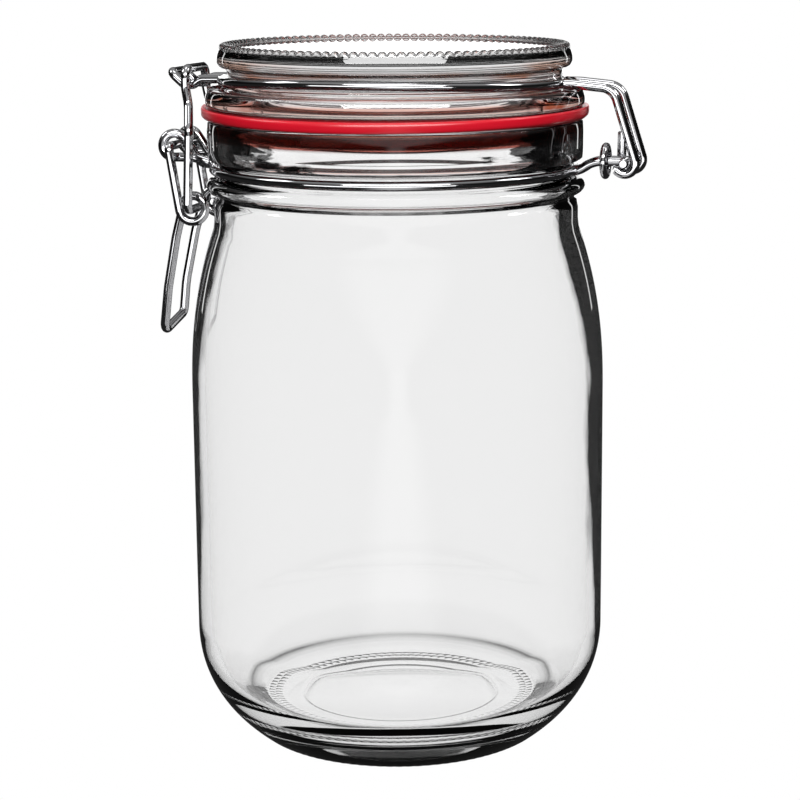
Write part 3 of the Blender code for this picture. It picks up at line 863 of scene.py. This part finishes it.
def lid_outline():
    """The lid's section, from the middle of its top, down the outside and up into the recess."""
    return [
        (0, DISC_TOP),
        (BEAD_RADIUS - 2.0, DISC_TOP),
        (BEAD_RADIUS - 1.2, DISC_TOP),
        (BEAD_RADIUS - 0.6, BEAD_FOOT - 0.05),
        (BEAD_RADIUS, BEAD_FOOT),
        (BEAD_RADIUS + 0.6, BEAD_FOOT - 0.15),
        (DISC_RADIUS - 0.75, BEAD_FOOT - 0.4),
        (DISC_RADIUS - 0.4, BEAD_FOOT - 1.3),
        (DISC_RADIUS - 0.1, BEAD_FOOT - 2.2),
        (DISC_RADIUS, BEAD_FOOT - 3.0),
        (DISC_RADIUS, DISC_FOOT + 1.4),
        (DISC_RADIUS - 0.6, DISC_FOOT + 0.4),
        (WAIST_RADIUS + 1.0, DISC_FOOT + 0.1),
        (WAIST_RADIUS, DISC_FOOT - 0.7),
        (WAIST_RADIUS, FLANGE_TOP + 0.5),
        (WAIST_RADIUS + 0.6, FLANGE_TOP),
        (FLANGE_RADIUS - 1.5, FLANGE_TOP),
        (FLANGE_RADIUS - 0.75, FLANGE_TOP - 0.4),
        (FLANGE_RADIUS - 0.3, FLANGE_TOP - 1.5),
        (FLANGE_RADIUS, FLANGE_TOP - 2.7),
        (FLANGE_RADIUS, LID_SEAL_Z + 0.8),
        (FLANGE_RADIUS - 0.2, LID_SEAL_Z + 0.2),
        (FLANGE_RADIUS - 0.8, LID_SEAL_Z),
        (PLUG_RADIUS + 0.4, LID_SEAL_Z),
        (PLUG_RADIUS, LID_SEAL_Z - 0.4),
        (PLUG_RADIUS - 0.2, RIM_TOP - 1.8),
        (PLUG_RADIUS - 0.45, RIM_TOP - 2.2),
        (PLUG_RADIUS - 0.9, PLUG_FOOT + 0.6),
        (PLUG_RADIUS - 1.5, PLUG_FOOT),
        (RECESS_RADIUS + 1.2, PLUG_FOOT),
        (RECESS_RADIUS + 0.5, PLUG_FOOT + 0.8),
        (RECESS_RADIUS, RECESS_TOP - 2.4),
        (RECESS_RADIUS - 1.4, RECESS_TOP - 0.5),
        (RECESS_RADIUS - 3.2, RECESS_TOP),
        (0, RECESS_TOP),
    ]


PLUG_PAINTED_RED = [  # painted reflection of the rubber ring's red in the plug below it, with a painted light line
    (156.9, "ffffff"),
    (157.2, "3c0e0b"),
    (159.3, "5c1512"),
    (159.5, "f0b8a0"),
    (159.9, "f0b8a0"),
    (160.1, "5c1512"),
    (161.4, "6a1a15"),
    (162.2, "ffffff"),
]
FLANGE_PAINTED_COPPER = [  # painted reflection of the same red in the flange and the waist, with painted dark of the wire
    (164.9, "ffffff"),
    (165.4, "701808"),
    (167.2, "b05030"),
    (169.4, "200402"),
    (170.2, "c06848"),
    (175.0, "b05838"),
    (177.4, "d8a890"),
    (177.7, "ffffff"),
]
FLANGE_PAINTED_LINES = [  # painted reflection and shade: fine red and grey lines round the flange's edges
    (164.9, "ffffff"),
    (165.3, "c8c0b4"),
    (166.4, "f0e0d8"),
    (167.0, "c8604c"),
    (167.8, "e09c88"),
    (168.4, "ffffff"),
    (169.2, "ffffff"),
    (169.5, "a03c28"),
    (169.9, "a03c28"),
    (170.2, "ffffff"),
]
DISC_PAINTED_DARK = [  # painted shade: the thick edge of the disc is painted dark between its foot and its beads
    (177.6, "ffffff"),
    (178.0, "050505"),
    (180.0, "050505"),
    (180.3, "ffffff"),
]
# Every tint of the lid is painted: painted reflection of the red ring, and painted shade.
LID_PAINTED_LIGHT = [
    (0, 41.5, "all over", PLUG_PAINTED_RED),
    (41.7, BEYOND, "in streaks", FLANGE_PAINTED_COPPER),
    (46.5, BEYOND, "all over", FLANGE_PAINTED_LINES),
    (44.3, BEYOND, "all over", DISC_PAINTED_DARK),
]
lid_glass = soda_lime_glass("clear soda-lime glass, pressed", 0.9, LID_PAINTED_LIGHT)
lid_mesh = studded(
    turned("lid", softened(lid_outline(), closed=False), LID_STEPS),
    "beads",
    Count=BEAD_COUNT,
    Sharpness=BEAD_SHARPNESS,
    Height=BEAD_HEIGHT * MM,
    Radius=BEAD_RADIUS * MM,
    Reach=BEAD_REACH * MM,
    Level=BEAD_FOOT * MM,
    Slack=BEAD_SLACK * MM,
    Material=lid_glass,
)
stand("lid", lid_mesh, lid_glass, "clear_glass", "lid", "lid_glass")

# ---- The lid wire -------------------------------------------------------------------------
# One wire sprung round the lid's waist. Its ends bend down at the back and hook under the hinge
# bar, one of them left long; in front it runs out into a narrow hook with a valley for the link.
LID_WIRE_CIRCLE = WAIST_RADIUS + FIT_GAP + WIRE_RADIUS
LID_WIRE_Z = FLANGE_TOP + FIT_GAP + WIRE_RADIUS
LID_WIRE_RISE = 1.6
LID_OPEN_Y, LID_LATCH_Y = 9.4, 8.8  # where its circle begins behind and ends in front
HOOK_RADIUS = 2 * WIRE_RADIUS + FIT_GAP
SHORT_HOOK_END, LONG_HOOK_END = math.radians(-152), math.radians(-180)
ARM_Y = 5.2
ARM_BEND = (57.7, 170.3)
ARM_LEAN = math.radians(18)
LONG_HOOK_TOP = (58.2, 159.0)
HOOK_Y = 4.6
HOOK_BENDS = [  # x, z and bend radius, out from the circle, through the valley and up to the tip
    (-51.0, 171.2, 2.6),
    (-53.2, 169.7, 1.6),
    (-55.7, 169.7, 1.8),
    (-59.3, 172.9, 1.8),
]


def lid_wire_half(side):
    """One side of the lid wire, from its end behind to the middle of its tip in front."""
    circle, z = LID_WIRE_CIRCLE, LID_WIRE_Z
    y, slot = side * ARM_Y, side * HOOK_Y
    hook_end = LONG_HOOK_END if side == FAR else SHORT_HOOK_END
    long_end = [(LONG_HOOK_TOP[0], y, LONG_HOOK_TOP[1], 0)] if side == FAR else []
    leave = math.asin(LID_OPEN_Y / circle)
    arrive = math.pi - math.asin(LID_LATCH_Y / circle)
    tip_x, tip_z, _ = HOOK_BENDS[-1]
    return rounded(
        [
            *long_end,
            *coil((HINGE_X, HINGE_Z), HOOK_RADIUS, hook_end, ARM_LEAN, y, y, steps=30),
            (ARM_BEND[0], y, ARM_BEND[1], 4.5),
            (circle + 3, y, z, 6),
            (math.sqrt(circle**2 - ARM_Y**2), y, z, 2.4),
            *flat_arc(circle, z, side * leave, side * arrive, LID_WIRE_RISE),
            (-math.sqrt(circle**2 - HOOK_Y**2), slot, z, 2.6),
            *[(bend_x, slot, bend_z, radius) for bend_x, bend_z, radius in HOOK_BENDS],
            (tip_x, 0, tip_z, 0),
        ]
    )


def whole(half):
    """A wire's near half followed by its far half, which meet in the middle."""
    return half(NEAR)[:-1] + half(FAR)[::-1]


lid_loop = bent_wire("lid_loop", whole(lid_wire_half))
wires.append(stand("lid_loop", lid_loop, steel, "steel_wire", "lid", "lid_wire"))

# ---- The lever and the link ---------------------------------------------------------------
# Two more bent wires. The lever's ends turn into the neck wire's eyes, each side takes one turn
# round the link's pin and runs down as the handle. The link reaches up from those pins, widens
# round the eyes and narrows again to the crossbar that pulls the lid wire's hook down.
PIVOT_B = (-52.5, 137.9)  # x and z of the link's pin
COIL_RADIUS = 3.3
COIL_Y = (10.2, 7.6)
COIL_LEAVES = math.radians(20)
PIVOT_END_Y, PIN_END_Y = 3.2, 6.0
HANDLE_BENDS = [  # x, y, z and bend radius, from the coil down to the tip
    (-58.2, 7.1, 130.0, 14),
    (-61.0, 6.6, 116.5, 18),
]
HANDLE_TIP = {NEAR: (-62.6, 104.5), FAR: (-61.8, 107.9)}
HANDLE_Y = 6.3
LINK_Y = 13.0
LINK_BENDS = [  # x, y, z and bend radius, from the pin up to the crossbar's end
    (-51.6, LINK_Y, 158.5, 4.0),
    (-53.5, 7.7, 164.7, 4.0),
    (-54.3, 7.4, 169.0, 6.0),
    (-54.3, 7.4, 173.9, 2.4),
]


def lever_half(side):
    """One side of the lever, from its end in the eye to the middle of the handle's tip."""
    reach = (PIVOT_B[0] - PIVOT_A[0], PIVOT_B[1] - PIVOT_A[1])
    lean = math.atan2(reach[0], -reach[1]) - math.asin(COIL_RADIUS / math.hypot(*reach))
    start, end = math.pi + lean, 3 * math.pi - COIL_LEAVES
    tip, other = HANDLE_TIP[side], HANDLE_TIP[-side]
    return rounded(
        [
            (PIVOT_A[0], side * PIVOT_END_Y, PIVOT_A[1], 0),
            (PIVOT_A[0], side * COIL_Y[0], PIVOT_A[1], 1.6),
            *coil(PIVOT_B, COIL_RADIUS, start, end, side * COIL_Y[0], side * COIL_Y[1]),
            *[(x, side * y, z, radius) for x, y, z, radius in HANDLE_BENDS],
            (tip[0], side * HANDLE_Y, tip[1], 2.0),
            ((tip[0] + other[0]) / 2, 0, (tip[1] + other[1]) / 2, 0),
        ]
    )


def link_half(side):
    """One side of the link, from its pin in the lever's coil to the middle of the crossbar."""
    top_x, _, top_z, _ = LINK_BENDS[-1]
    return rounded(
        [
            (PIVOT_B[0], side * PIN_END_Y, PIVOT_B[1], 0),
            (PIVOT_B[0], side * LINK_Y, PIVOT_B[1], 1.6),
            *[(x, side * y, z, radius) for x, y, z, radius in LINK_BENDS],
            (top_x, 0, top_z, 0),
        ]
    )


lever = bent_wire("lever", whole(lever_half))
link = bent_wire("link", whole(link_half))
wires.append(stand("lever", lever, steel, "steel_wire", "lever", "lever_wire"))
wires.append(stand("link", link, steel, "steel_wire", "link", "link_wire"))

# A low white card in front gives the upright wires their highlight, and lights nothing else.
low_card = hang_softbox("card_low", 6, -2, 1.0, 0.2, 3.5, distance=0.5)
carded = bpy.data.collections.new("lit by the low card")
for wire in wires:
    carded.objects.link(wire)
low_card.light_linking.receiver_collection = carded
